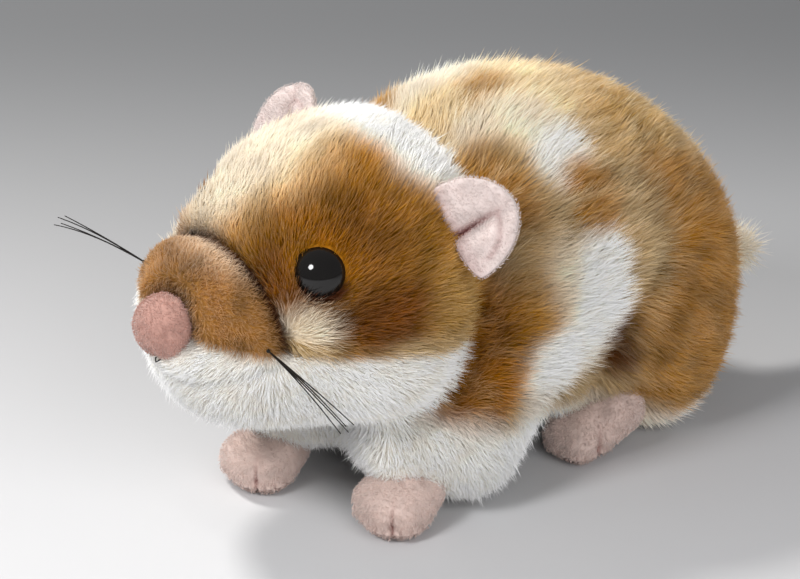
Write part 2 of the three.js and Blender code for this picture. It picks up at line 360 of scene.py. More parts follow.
def softForm(name, nodes, cell, smoothing, levels):
    # the solids as one soft closed form: remeshed, its flats evened away, then subdivided
    maker = newObject("formMaker", joinedMesh("formMaker", nodes))
    step = maker.modifiers.new("Remesh", 'REMESH')
    step.mode = 'VOXEL'
    step.voxel_size = cell
    mesh = asPlainMesh(maker, name)
    keepLargest(mesh)
    spots = evened(vertexArray(mesh), edgeArray(mesh), smoothing)
    moveVertices(mesh, spots)
    maker = newObject("formMaker", mesh)
    step = maker.modifiers.new("Subdivision", 'SUBSURF')
    step.levels = step.render_levels = levels
    return asPlainMesh(maker, name)


skinMesh = softForm("skin", furNodes + trimNodes, skinSet["cell"], skinSet["smoothing"], 1)
skinSpots = vertexArray(skinMesh)
skinEdges = edgeArray(skinMesh)
skinOut = vertexNormals(skinMesh)
print("skin remeshed,", len(skinSpots), "vertices")

nodeTrees = {node: nodeTree(node) for node in furNodes + trimNodes + ["left_ear", "right_ear"]}
reach = {node: np.array([tree.find_nearest(spot)[3] for spot in skinSpots.tolist()])
         for node, tree in nodeTrees.items()}
furReach = np.stack([reach[node] for node in furNodes])
nearestFur = furReach.argmin(axis=0)
onHead = np.isin(nearestFur, [furNodes.index(node) for node in headNodes])
headSpots = toHead(skinSpots)
headSide = np.abs(headSpots[:, 0])


# ---- pile: its length, how steeply it stands and how ruffled it is, by place ----
pileSet = {
    # length in millimetres, share that stands up, share that points any way
    "head": {"length": 4.3, "stand": 0.42, "ruffle": 0.20},
    "muzzle": {"length": 2.1, "stand": 0.50, "ruffle": 0.40},
    "jaw": {"length": 3.2, "stand": 0.45, "ruffle": 0.20},
    "trunk": {"length": 5.8, "stand": 0.40, "ruffle": 0.22},
    "front_leg": {"length": 4.6, "stand": 0.45, "ruffle": 0.22},
    "hind_leg": {"length": 6.0, "stand": 0.36, "ruffle": 0.18},
    "tail": {"length": 7.0, "stand": 0.60, "ruffle": 0.50},
}
# on the head, in its millimetres; the stitches pull hardest a little behind the seam
muzzleSeam = {"y": -70.5, "lean": math.radians(14), "lip": 45.5, "pulledAt": 0.6}


def seamDistance(places):
    # millimetres behind the seam between the tan muzzle and the head
    lean = muzzleSeam["lean"]
    seamY = muzzleSeam["y"] - (places[:, 2] - muzzleSeam["lip"]) * math.tan(lean)
    return (places[:, 1] - seamY) * math.cos(lean)


def byNode(trait):
    kinds = [node.replace("left_", "").replace("right_", "") for node in furNodes]
    return np.array([pileSet[kind][trait] for kind in kinds])[nearestFur]


# where each spot of the skin is, in millimetres
lipHeight = headSpots[:, 2] - muzzleSeam["lip"]
aboveLip = smoothShare(-1.5, 2.5, lipHeight) * onHead
seamAway = seamDistance(headSpots)
noseAway = reach["nose"] / mm
pawAway = np.minimum.reduce([reach[node] for node in trimNodes if "paw" in node]) / mm
eyeAway = np.linalg.norm(np.stack([headSide, headSpots[:, 1], headSpots[:, 2]], 1)
                         - np.array(headMarks["eye"]), axis=1)
farEye = smoothShare(-8, -14, headSpots[:, 0]) * onHead
# the side of the right eye that the dimple opens: outwards and down
dimpleSide = smoothShare(2, -4, (headSpots[:, 0] + eyeX) * 0.75 + (headSpots[:, 2] - eyeZ) * 0.65)
overEye = smoothShare(-2.0, -5.5, headSpots[:, 2] - eyeZ)    # the tuft over an eye's lower edge

# what is left of the pile's length at its shortest
pileCut = {"eye": 0.35, "nose": 0.4, "seam": 0.55, "paws": 0.3}
pileGain = {"underEye": 1.4, "standOverPaws": 0.75}


def settlePile():
    length = evened(byNode("length"), skinEdges, 5)
    # short round the eyes, but for that tuft
    full = np.maximum.reduce([smoothShare(5.5, 11, eyeAway), overEye, farEye * (1 - dimpleSide)])
    length *= pileCut["eye"] + (1 - pileCut["eye"]) * full
    length *= 1 + (pileGain["underEye"] - 1) * overEye * smoothShare(12, 8, eyeAway)
    length *= pileCut["nose"] + (1 - pileCut["nose"]) * smoothShare(0, 5, noseAway)
    length *= 1 - (1 - pileCut["seam"]) * aboveLip * groove(seamAway, 2.5)
    stand = evened(byNode("stand"), skinEdges, 8)
    # cut short and fluffed up where it would hang over the paws
    cut = smoothShare(8, 1, pawAway)
    length *= 1 - (1 - pileCut["paws"]) * cut
    stand += (pileGain["standOverPaws"] - stand) * cut
    return evened(length, skinEdges, 3) * mm, stand


pileLength, pileStand = settlePile()


def foldBetween(oneSide, otherSide, width):
    # nearly 1 on the line where two groups of solids meet, fading to 0 over the width
    one = np.minimum.reduce([reach[node] for node in oneSide])
    other = np.minimum.reduce([reach[node] for node in otherSide])
    return groove(one + other, width)


bodyNodes = [node for node in furNodes if node not in headNodes]
neckGroove = foldBetween(headNodes, bodyNodes, 4.2 * mm)
haunchGroove = (foldBetween(["left_hind_leg", "right_hind_leg"], ["trunk"], 3.4 * mm)
                * smoothShare(34 * mm, 22 * mm, skinSpots[:, 1]))
neckPuff = foldBetween(headNodes, bodyNodes, 9.0 * mm) - neckGroove
pulledAway = seamAway - muzzleSeam["pulledAt"]
muzzleGroove = aboveLip * groove(pulledAway, 1.9)
noseGroove = groove(noseAway, 2.2) * smoothShare(-5, 3, lipHeight)
chinFold = {"height": 33, "rise": 12, "halfWidth": 25}      # it curves up under the cheeks
chinRise = chinFold["rise"] * (headSide / chinFold["halfWidth"]) ** 2
chinAway = headSpots[:, 2] - (chinFold["height"] + chinRise)
onChin = smoothShare(-62, -69, headSpots[:, 1]) * onHead
lipGroove = groove(chinAway, 1.4) * onChin


def sculptSkin():
    # pull the skin in below the pile, then sew its seams and folds
    onTail = evened((nearestFur == furNodes.index("tail")).astype(float), skinEdges, 4)
    spots = skinSpots - skinOut * (pileLength * skinSet["depthShare"] * (1 - 0.6 * onTail))[:, None]
    puff = (aboveLip * groove(seamAway + 5.0, 3.5) * skinSet["muzzlePuff"]
            + aboveLip * groove(noseAway - 4.5, 2.2) * skinSet["nosePuff"]
            + groove(chinAway - 4.5, 3.0) * onChin * skinSet["lipPuff"] + neckPuff * skinSet["neckPuff"])
    push = (neckGroove * skinSet["neckFold"] + haunchGroove * skinSet["haunchFold"]
            + muzzleGroove * skinSet["muzzleSeam"] + noseGroove * skinSet["noseSeam"]
            + lipGroove * skinSet["lipFold"] + smoothShare(9, 1, pawAway) * skinSet["pawTuck"]
            + farEye * dimpleSide * groove(eyeAway, 10) * skinSet["eyeDimple"] - puff)
    spots = spots - skinOut * push[:, None]
    spots[:, 2] = np.maximum(spots[:, 2], skinSet["offFloor"])
    return evened(spots, skinEdges, 2)


moveVertices(skinMesh, sculptSkin())
skinOut = vertexNormals(skinMesh)
print("skin set under the pile")

# ---- the lie of the pile ----
lieSet = {
    # on the head the pile fans out from the whiskers' roots
    "muzzle": (0.0, 0.9, -0.3),
    "back": (-0.1, 0.9, 0.3),         # over the back and flanks, for the left side
    "haunch": (0.0, 0.9, -0.35),
    "low": (0.1, 0.5, -0.8),          # belly, legs
    "waves": ((17.0, 0.34), (6.0, 0.30)),     # size in millimetres and strength of the drifts in the lie
}


def drift(places, size, seed):
    return np.array([noise.noise_vector(Vector(place) / size + Vector((seed, 0, 0)))
                     for place in places.tolist()])


def settleLie():
    lie = np.zeros_like(skinSpots)
    whorl = np.array(headMarks["whiskers"])
    for side in (1, -1):
        near = smoothShare(-14, 14, headSpots[:, 0] * side)
        fan = headSpots - whorl * np.array([side, 1, 1])
        fan /= np.linalg.norm(fan, axis=1)[:, None] + 1e-9
        lie += (near[:, None] * fan) @ headAxes
    saddle = (aboveLip * smoothShare(1, -1, seamAway))[:, None]
    lie = (lie * (1 - saddle) + np.array(lieSet["muzzle"]) @ headAxes * saddle) * onHead[:, None]
    side = np.sign(skinSpots[:, 0])[:, None]
    mirror = np.concatenate([side, np.ones_like(side), np.ones_like(side)], axis=1)
    low = smoothShare(34 * mm, 20 * mm, skinSpots[:, 2])[:, None]
    haunches = [furNodes.index(side + "_hind_leg") for side in ("left", "right")]
    haunch = np.isin(nearestFur, haunches)[:, None]
    body = np.array(lieSet["back"]) * mirror * (1 - low) + np.array(lieSet["low"]) * mirror * low
    body = np.where(haunch, np.array(lieSet["haunch"]), body)
    lie += body * (~onHead)[:, None]
    lie = evened(lie, skinEdges, 6)
    for seed, (size, strength) in enumerate(lieSet["waves"]):
        lie += drift(skinSpots / mm, size, 20.0 * seed) * strength
    lie -= skinOut * (lie * skinOut).sum(axis=1)[:, None]
    return lie / (np.linalg.norm(lie, axis=1)[:, None] + 1e-9)


pileLie = settleLie()

# ---- markings and painted shade, shared by the skin and the pile ----
# crease and hollow are dark browns for painted shade; deep is the head's own dark marking, and also paints
# two patches of shade
dyesAndShades = {"white": "#FBF6EE", "cream": "#ECDFC9", "gold": "#B48020", "deep": "#7C4604", "amber": "#96600F",
        "tan": "#A57A4A", "paleTan": "#E0C8AC", "paleGold": "#BE9650", "beige": "#C2A678",
        "brown": "#B48236", "straw": "#EAD4A8", "crease": "#3E1E0C", "hollow": "#5A3212"}
# each mark: its colour, centre and radii in millimetres, softness of its edge; later marks lie over earlier
# ones; some marks are painted shade
headPatches = [     # on both sides
    ("amber", (23, -57, 69), (15, 17, 14), 0.8),
    ("deep", (32, -50, 54), (13, 14, 9), 0.6),
    # painted shade in the front lower corner of each eye
    ("deep", (18.5, -67, 58.5), (4, 4, 2.5), 0.6),
    ("paleGold", (38, -32, 50), (10, 10, 22), 0.6),
    ("beige", (35, -40, 46), (13, 13, 4.5), 0.6),
    ("cream", (26, -68, 52.5), (6.5, 8, 6), 0.5),
    ("beige", (27, -68, 47.5), (8, 9, 2.5), 0.6),
]
sidePatches = [   # on one side only
    # painted shade: a dark brown wedge beside the muzzle seam, on the near side only
    ("deep", (15, -72, 60), (9, 6, 8), 0.7),
    ("straw", (-9, -58, 79), (16, 22, 18), 0.5),
    ("cream", (-13, -61, 77), (14, 26, 20), 0.35),
    ("white", (0, -27, 88), (38, 16, 14), 0.35),
    # painted shade in the recess round the left eye; the right eye's amber ring is the pile's own colour
    ("crease", (eyeX, eyeY, eyeZ), (7.1, 7.1, 7.1), 0.1),
    ("amber", (-eyeX, eyeY, eyeZ), (7.1, 7.1, 7.1), 0.1),
]
bodyPatches = [
    ("brown", (32, 50, 36), (26, 34, 38), 0.3),
    ("paleGold", (12, 34, 85), (24, 21, 13), 0.5),
    ("brown", (32, 36, 66), (10, 14, 10), 0.5),
    ("straw", (6, 0, 91), (26, 24, 11), 0.5),
    ("gold", (1, -2, 92), (8, 7, 5), 0.6),
    ("cream", (13, -8, 85), (7, 8, 6), 0.6),
    ("cream", (18, 2, 87), (11, 8, 7), 0.6),
    ("white", (27, 4, 80), (8, 7, 9), 0.45),
    ("gold", (26, -15, 80), (9, 8, 9), 0.5),
    ("brown", (30, -12, 73), (5, 6, 7), 0.7),
    ("cream", (39, -4, 50), (8, 5, 18), 0.5),
    ("brown", (33, 9, 71), (8, 6.5, 12), 0.4),
    ("beige", (34, 19, 70), (7, 4, 8), 0.6),
    ("beige", (38, 22, 54), (8, 7, 12), 0.6),
    ("gold", (38, -13, 42), (8, 7, 13), 0.6),
    ("amber", (34, -24, 42), (11, 10, 17), 0.4),
    ("amber", (31, -28, 31), (12, 10, 10), 0.35),
    ("white", (39, 6, 48), (9, 8, 17), 0.25),
    ("white", (38, -5, 33), (9, 10, 11), 0.3),
    ("white", (34, -22, 11), (30, 32, 14.5), 0.2),
    ("white", (0, -42, 14), (44, 18, 20), 0.3),
    ("white", (0, -10, 4), (60, 46, 14), 0.3),
    ("white", (30, 46, 1), (12, 13, 6), 0.5),
    # painted shade in the hollow before the haunch, over its brown
    ("hollow", (36, 14, 31), (7, 6, 9), 0.5),
    ("cream", (0, 78, 30), (12, 14, 12), 0.3),
]
markSet = {"wander": 3.0, "wanderSize": 11.0, "lipAt": 46.3, "lipEdge": 0.9,
           "saddlePales": (57, 67),                    # heights on the head
           "blotches": ((7.0, 0.45), (2.6, 0.30)),     # size and depth
           "streakSize": 2.6, "streaksLow": 0.12, "streaksHigh": 0.55}


def wandered(places):
    # shifts places by soft noise, so that the edges of the patches wander as dyed pile does
    shift = [noise.noise_vector(Vector(place) / markSet["wanderSize"]) for place in places.tolist()]
    return places + np.array(shift) * markSet["wander"]


# mixes a colour in by the share; it serves both for dyes and for painted shade
def dyed(shade, dye, share):
    return shade * (1 - share[:, None]) + np.array(linearColour(dyesAndShades[dye])) * share[:, None]


def allOver(dye):
    return np.tile(np.array(linearColour(dyesAndShades[dye])), (len(skinSpots), 1))


def painted(shade, places, patches):
    for dye, centre, radii, softness in patches:
        far = np.linalg.norm((places - np.array(centre)) / np.array(radii), axis=1)
        shade = dyed(shade, dye, smoothShare(1 + softness, 1 - softness, far))
    return shade


def mirrored(places):
    return np.concatenate([np.abs(places[:, :1]), places[:, 1:]], axis=1)


def colouring():
    headPlaces = wandered(headSpots)
    shade = painted(allOver("gold"), mirrored(headPlaces), headPatches)
    shade = painted(shade, headPlaces, sidePatches)
    saddle = dyed(allOver("tan"), "paleTan", smoothShare(*markSet["saddlePales"], headSpots[:, 2]))
    tan = (smoothShare(0.8, -0.2, seamAway) * aboveLip)[:, None]
    shade = shade * (1 - tan) + saddle * tan
    lip, edge = markSet["lipAt"], markSet["lipEdge"]
    shade = dyed(shade, "white", smoothShare(lip + edge, lip - edge, headSpots[:, 2]))
    # painted shade: dark brown in the seam behind the muzzle and in the crease above the nose
    shade = dyed(shade, "crease", np.clip(muzzleGroove ** 2 + noseGroove ** 0.6, 0, 1))
    places = skinSpots / mm
    body = painted(allOver("beige"), mirrored(wandered(places)), bodyPatches)
    # pale streaks where the dye missed, thickest along the back and longest from front to back
    streaks = drift(places * np.array([1, 0.45, 1]), markSet["streakSize"], 40.0)[:, 1]
    thick = markSet["streaksLow"] + markSet["streaksHigh"] * smoothShare(56, 86, places[:, 2])
    onDark = smoothShare(0.75, 0.4, body.mean(axis=1))
    body = dyed(body, "straw", smoothShare(0.02, 0.4, streaks) * thick * onDark)
    shade = np.where(onHead[:, None], shade, body)
    # the dye takes unevenly, in blotches of two sizes; white pile has none
    blotch = sum(drift(places, size, 70.0 + size)[:, 0] * depth for size, depth in markSet["blotches"])
    dark = np.clip(1.15 - shade.mean(axis=1), 0, 1)
    return shade * (1 + blotch * dark)[:, None]


coatColour = colouring()
print("pile lengths, lie and markings settled")


def writeAttribute(mesh, name, kind, values):
    part = {'FLOAT': "value", 'FLOAT_VECTOR': "vector", 'FLOAT_COLOR': "color"}[kind]
    if kind == 'FLOAT_COLOR':
        values = np.concatenate([values, np.ones((len(values), 1))], axis=1)
    layer = mesh.attributes.new(name, kind, 'POINT')
    layer.data.foreach_set(part, np.ascontiguousarray(values, dtype=np.float32).ravel())


# how thickly the pile grows: none under the trims and the eyes, less on the belly
bare = np.minimum.reduce([reach[node] for node in trimNodes]) / mm
bare = np.where(eyeAway < 9, bare - 0.35 * (1 - overEye), bare)
pileThick = smoothShare(0.3, 0.9, bare) * (1 - 0.45 * smoothShare(-0.55, -0.85, skinOut[:, 2]))
pileThick *= 1 - 0.75 * aboveLip * groove(pulledAway, 0.9)
writeAttribute(skinMesh, "coatColour", 'FLOAT_COLOR', coatColour)
writeAttribute(skinMesh, "lie", 'FLOAT_VECTOR', pileLie)
for name, values in (("pile", pileLength), ("stand", pileStand),
                     ("ruffle", evened(byNode("ruffle"), skinEdges, 4)), ("thick", pileThick)):
    writeAttribute(skinMesh, name, 'FLOAT', values)


# ---- fibres and what carries them ----
def fibreMaterial(name, rootShade, tipShade, sheen):
    # acrylic fibre, crimped, cut and brushed: matt sides with a faint sheen, shaded roots, bright tips
    # crimp breaks up the gloss, and light passes through thin fibres
    material, tree, surface = newMaterial(name, {
        "Roughness": 0.6, "IOR": 1.5, "Specular IOR Level": 0.12, "Sheen Weight": sheen,
        "Sheen Roughness": 0.4, "Subsurface Weight": 0.25, "Subsurface Radius": (1, 1, 1),
        "Subsurface Scale": 0.4 * mm})
    along = carried(tree, "along")
    depth = ranged(tree, along, 0.0, 0.95, rootShade, tipShade)
    level = ranged(tree, carried(tree, "fibreTone"), 0.1, 0.9, 0.92, 1.1)
    value = addNode(tree, 'ShaderNodeMath', {0: depth, 1: level}, operation='MULTIPLY').outputs[0]
    richness = ranged(tree, along, 0.0, 1.0, 1.2, 0.8)
    shade = toned(tree, carried(tree, "coatColour", "Color"), value, richness)
    # nothing dyed is brighter than clean white acrylic
    held = addNode(tree, 'ShaderNodeVectorMath', {0: shade, 1: (0.93, 0.93, 0.93)}, operation='MINIMUM')
    tree.links.new(held.outputs[0], surface.inputs["Base Color"])
    return material


def backingMaterial():
    # the knitted backing at the foot of the pile, dyed with it
    material, tree, surface = newMaterial("knitted plush backing", {"Roughness": 0.9})
    tufts = grain(tree, 900.0, 3.0)
    level = ranged(tree, tufts, 0.3, 0.7, 0.86, 1.0)
    shade = toned(tree, carried(tree, "coatColour", "Color"), level, 1.1)
    tree.links.new(shade, surface.inputs["Base Color"])
    bump = addNode(tree, 'ShaderNodeBump', {"Height": tufts, "Distance": 0.3 * mm, "Strength": 0.8})
    tree.links.new(bump.outputs[0], surface.inputs["Normal"])
    return material


def velourMaterial():
    # polyester velour, sheared and brushed: matt and peachy, a soft sheen where it turns away
    material, tree, surface = newMaterial("sheared polyester velour", {
        "Roughness": 0.88, "Sheen Weight": 0.35, "Sheen Roughness": 0.5})
    # the real nap is some 0.1 mm apart; 0.5 mm grains are what still shows
    nap = grain(tree, 2000.0, 4.0)
    brushing = grain(tree, 260.0, 2.0)
    level = ranged(tree, brushing, 0.3, 0.7, 0.93, 1.05)
    tree.links.new(toned(tree, carried(tree, "coatColour", "Color"), level), surface.inputs["Base Color"])
    fine = addNode(tree, 'ShaderNodeBump', {"Height": nap, "Distance": 0.16 * mm, "Strength": 0.7})
    broad = addNode(tree, 'ShaderNodeBump', {"Height": brushing, "Normal": fine.outputs[0],
                                             "Distance": 0.5 * mm, "Strength": 0.5})
    tree.links.new(broad.outputs[0], surface.inputs["Normal"])
    return material


pileStuff = fibreMaterial("dyed acrylic pile", 0.86, 1.18, 0.02)
napStuff = fibreMaterial("brushed velour nap", 0.96, 1.04, 0.15)
backing = backingMaterial()
velour = velourMaterial()

# ---- one fibre, in units of its width and length: a bent spindle of six faces ----
fibreSet = {"rootDip": -0.12, "bellyAt": 0.42, "bellyRadius": 0.5, "bellyOut": 1.6}


def fibreMesh():
    mesh = bpy.data.meshes.new("fibre")
    out, radius, belly = fibreSet["bellyOut"], fibreSet["bellyRadius"], fibreSet["bellyAt"]
    ring = [(out + radius * math.cos(turn), radius * math.sin(turn), belly)
            for turn in (0, math.tau / 3, 2 * math.tau / 3)]
    mesh.from_pydata([(0, 0, fibreSet["rootDip"]), *ring, (0, 0, 1)], [],
                     [(0, 2, 1), (0, 3, 2), (0, 1, 3), (4, 1, 2), (4, 2, 3), (4, 3, 1)])
    writeAttribute(mesh, "along", 'FLOAT', np.array([0, belly, belly, belly, 1]))
    # the fibre laid flat, as a patch of the map
    writeAttribute(mesh, "fibreMap", 'FLOAT_VECTOR',
                   np.array([(0.5, 0, 0), *((x, belly, 0) for x in (0.15, 0.5, 0.85)), (0.5, 1, 0)]))
    return mesh


fibre = newObject("fibre", fibreMesh())


pileInputs = {"Geometry": 'Geometry', "Seed": 'Int', "Fibre": 'Object', "Material": 'Material',
              **dict.fromkeys(("Fibres per m2", "Fibre width", "Shortest cut", "Longest cut", "Clump size",
                               "Clump pull", "Stray length", "Softness", "Lowest", "Patch size"), 'Float')}
# what the scalp, the points and the fibre carry only while the pile is laid
passing = {**dict.fromkeys(("pile", "stand", "thick", "ruffle"), 'FLOAT'),
           **dict.fromkeys(("lie", "scalpMap", "rootPlace", "rootOut", "fibreMap"), 'FLOAT_VECTOR')}


def pileTree():
    tree = bpy.data.node_groups.new("lay the pile", 'GeometryNodeTree')
    for name, kind in pileInputs.items():
        tree.interface.new_socket(name, in_out='INPUT', socket_type='NodeSocket' + kind)
    tree.interface.new_socket("Geometry", in_out='OUTPUT', socket_type='NodeSocketGeometry')
    given = addNode(tree, 'NodeGroupInput').outputs

    def step(kind, inputs=None, **settings):
        return addNode(tree, kind, inputs, **settings).outputs[0]

    def vectors(operation, first, second):
        scaled = {0: first, "Scale": second} if operation == 'SCALE' else {0: first, 1: second}
        return step('ShaderNodeVectorMath', scaled, operation=operation)

    def numbers(operation, first, second):
        return step('ShaderNodeMath', {0: first, 1: second}, operation=operation)

    def keep(geometry, name, value, kind, domain='POINT'):
        kept = {"Geometry": geometry, "Name": name, "Value": value}
        return step('GeometryNodeStoreNamedAttribute', kept, data_type=kind, domain=domain)

    named = {name: step('GeometryNodeInputNamedAttribute', {"Name": name}, data_type=kind)
             for name, kind in passing.items()}
    spread = addNode(tree, 'GeometryNodeDistributePointsOnFaces',
                     {"Mesh": given["Geometry"], "Seed": given["Seed"],
                      "Density": numbers('MULTIPLY', named["thick"], given["Fibres per m2"])})
    normal = spread.outputs["Normal"]
    luck = addNode(tree, 'FunctionNodeRandomValue', {"Seed": 3}, data_type='FLOAT').outputs[1]
    place = step('GeometryNodeInputPosition')
    clumps = addNode(tree, 'ShaderNodeTexVoronoi',
                     {"Vector": place, "Scale": numbers('DIVIDE', 1.0, given["Clump size"])})
    clumpLuck = step('ShaderNodeSeparateXYZ', {0: clumps.outputs["Color"]})
    tone = numbers('MULTIPLY', numbers('ADD', luck, clumpLuck), 0.5)
    points = keep(spread.outputs["Points"], "rootPlace", named["scalpMap"], 'FLOAT_VECTOR')
    points = keep(points, "fibreTone", tone, 'FLOAT')
    points = keep(points, "rootOut", normal, 'FLOAT_VECTOR')
    # which way a fibre points: partly out of the skin, partly along its lie, towards the tip of its clump
    drawn = vectors('SCALE', vectors('SUBTRACT', clumps.outputs["Position"], place),
                    numbers('DIVIDE', given["Clump pull"], named["pile"]))
    out = vectors('SCALE', normal, named["stand"])
    flat = vectors('SCALE', named["lie"], numbers('SUBTRACT', 1.0, named["stand"]))
    chance = step('FunctionNodeRandomValue', {0: (-1, -1, -1), 1: (1, 1, 1), "Seed": 5},
                  data_type='FLOAT_VECTOR')
    ruffled = vectors('ADD', drawn, vectors('SCALE', chance, named["ruffle"]))
    way = vectors('ADD', vectors('ADD', out, flat), ruffled)
    along = step('FunctionNodeAlignRotationToVector', {"Vector": way}, axis='Z')
    bowed = step('FunctionNodeAlignRotationToVector', {"Rotation": along, "Vector": normal},
                 axis='X', pivot_axis='Z')
    # most fibres are cut alike; a few strays stick out
    cut = addNode(tree, 'FunctionNodeRandomValue', {2: given["Shortest cut"], 3: given["Longest cut"],
                                                    "Seed": 7}, data_type='FLOAT').outputs[1]
    stray = numbers('MULTIPLY', numbers('POWER', luck, 12.0), given["Stray length"])
    length = numbers('MULTIPLY', named["pile"], numbers('ADD', cut, stray))
    wide = given["Fibre width"]
    size = step('ShaderNodeCombineXYZ', {0: wide, 1: wide, 2: length})
    shape = addNode(tree, 'GeometryNodeObjectInfo', {"Object": given["Fibre"]}).outputs["Geometry"]
    planted = step('GeometryNodeInstanceOnPoints', {"Points": points, "Instance": shape,
                                                    "Rotation": bowed, "Scale": size})
    real = step('GeometryNodeRealizeInstances', {0: planted})
    # the floor flattens what would reach below it
    tip = addNode(tree, 'ShaderNodeSeparateXYZ', {0: place}).outputs
    height = numbers('MAXIMUM', tip[2], given["Lowest"])
    kept = step('ShaderNodeCombineXYZ', {0: tip[0], 1: tip[1], 2: height})
    rested = step('GeometryNodeSetPosition', {"Geometry": real, "Position": kept})
    # a thick pile scatters light as one soft surface, so its normals lean towards the skin's
    own = step('GeometryNodeInputNormal')
    soft = addNode(tree, 'ShaderNodeMix', {0: given["Softness"], 4: own, 5: named["rootOut"]},
                   data_type='VECTOR').outputs[1]
    unit = vectors('NORMALIZE', soft, (0, 0, 0))
    eased = step('GeometryNodeSetMeshNormal', {"Mesh": rested, "Custom Normal": unit},
                 mode='FREE', domain='POINT')
    # each fibre's patch of the map lies at its root's place
    patch = vectors('SCALE', vectors('SUBTRACT', named["fibreMap"], (0.5, 0.5, 0)), given["Patch size"])
    done = keep(eased, "OFBake", vectors('ADD', named["rootPlace"], patch), 'FLOAT2', 'CORNER')
    for name in passing:
        done = step('GeometryNodeRemoveAttribute', {"Geometry": done, "Name": name})
    faced = step('GeometryNodeSetMaterial', {"Geometry": done, "Material": given["Material"]})
    addNode(tree, 'NodeGroupOutput', {0: faced})
    return tree


layThePile = pileTree()


def setInput(step, name, value):
    socket = next(s for s in step.node_group.interface.items_tree
                  if s.item_type == 'SOCKET' and s.in_out == 'INPUT' and s.name == name)
    step[socket.identifier] = value


# ---- coats grown on a scalp: long pile on the body, short nap on the velour ----
coatSet = {"Fibres per m2": 6.5e6, "Fibre width": 0.19 * mm, "Shortest cut": 0.76, "Longest cut": 1.1,
           "Clump size": 1.9 * mm, "Clump pull": 0.20, "Stray length": 0.5, "Softness": 0.95,
           "Lowest": 0.1 * mm, "Patch size": 0.003, "Material": pileStuff}
napSet = {**coatSet, "Fibres per m2": 5.0e6, "Fibre width": 0.16 * mm, "Clump size": 1.2 * mm,
          "Clump pull": 0.15, "Stray length": 0.8, "Material": napStuff}
quickShare = 0.3


def unwrap(piece, name):
    # a map of the piece's own shape, cut where it turns sharply
    bpy.context.view_layer.objects.active = piece
    piece.select_set(True)
    piece.data.uv_layers.new(name=name)
    bpy.ops.object.mode_set(mode='EDIT')
    bpy.ops.mesh.select_all(action='SELECT')
    bpy.ops.uv.smart_project(angle_limit=math.radians(66), island_margin=0.004)
    bpy.ops.object.mode_set(mode='OBJECT')
    piece.select_set(False)


def pieceOf(mesh, name, chosen):
    sheet = bmesh.new()
    sheet.from_mesh(mesh)
    sheet.faces.ensure_lookup_table()
    bmesh.ops.delete(sheet, geom=[sheet.faces[i] for i in np.nonzero(~chosen)[0]], context='FACES')
    return newObject(name, meshFrom(sheet, name))


def growPile(name, scalp, seed, traits):
    unwrap(scalp, "scalpMap")
    step = scalp.modifiers.new("Pile", 'NODES')
    step.node_group = layThePile
    for label, value in {**traits, "Seed": seed, "Fibre": fibre}.items():
        thinned = label == "Fibres per m2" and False
        setInput(step, label, value * quickShare if thinned else value)
    coat = newObject(name, asPlainMesh(scalp, name))
    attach(coat, "root")
    print(name, len(coat.data.polygons), "faces")


faceMiddles = fetched(skinMesh.polygons, "center", 3) / mm
faceNode = np.array([nearestFur[face.vertices[0]] for face in skinMesh.polygons])


def onNodes(*names):
    return np.isin(faceNode, [furNodes.index(name) for name in names])


# pieces small enough to pass on whole, on either side of the toy's middle
coatSplit = {"middle": -1, "shoulder": 0, "flank": 32}      # millimetres
leftHalf = faceMiddles[:, 0] > coatSplit["middle"]
backward = faceMiddles[:, 1]
coatPieces = {"muzzlePile": onNodes("muzzle"), "jawPile": onNodes("jaw"), "tailPile": onNodes("tail"),
              "frontLegPile": onNodes("left_front_leg", "right_front_leg")}
for side, half in (("left", leftHalf), ("right", ~leftHalf)):
    trunkHalf = onNodes("trunk") & half
    coatPieces[side + "HeadPile"] = onNodes("head") & half
    shoulder, rump = backward < coatSplit["shoulder"], backward >= coatSplit["flank"]
    coatPieces[side + "ShoulderPile"] = trunkHalf & shoulder
    coatPieces[side + "FlankPile"] = trunkHalf & ~shoulder & ~rump
    coatPieces[side + "RumpPile"] = trunkHalf & rump
    coatPieces[side + "HaunchPile"] = onNodes(side + "_hind_leg")

skin = newObject("plushSkin", skinMesh, backing)
skinMesh.shade_smooth()
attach(skin, "root")
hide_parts(*furNodes)
for seed, (name, chosen) in enumerate(coatPieces.items(), start=11):
    growPile(name, pieceOf(skinMesh, name + "Scalp", chosen), seed, coatSet)
unwrap(skin, "OFBake")
print("coat grown")

# ---- velour trims: nose, ears and paws, each a stuffed form under its own short nap ----
velourSet = {
    # the cloth's colour and the painted shade of its creases, millimetres of nap, share that stands up
    "ears": {"cloth": "#D8C9C5", "crease": "#9C5856", "nap": 0.7, "stand": 0.62},
    "paws": {"cloth": "#D2BBB2", "crease": "#8A564E", "nap": 0.8, "stand": 0.62},
    "nose": {"cloth": "#B58B7F", "crease": "#74463E", "nap": 0.7, "stand": 0.60},
}
# how unevenly the cloth is dyed, and how much shorter and thinner the nap is in its creases
napWear = {"mottle": 0.12, "mottleSize": 2.5 * mm, "ruffle": 0.35, "shorter": 0.4, "thinner": 0.7}


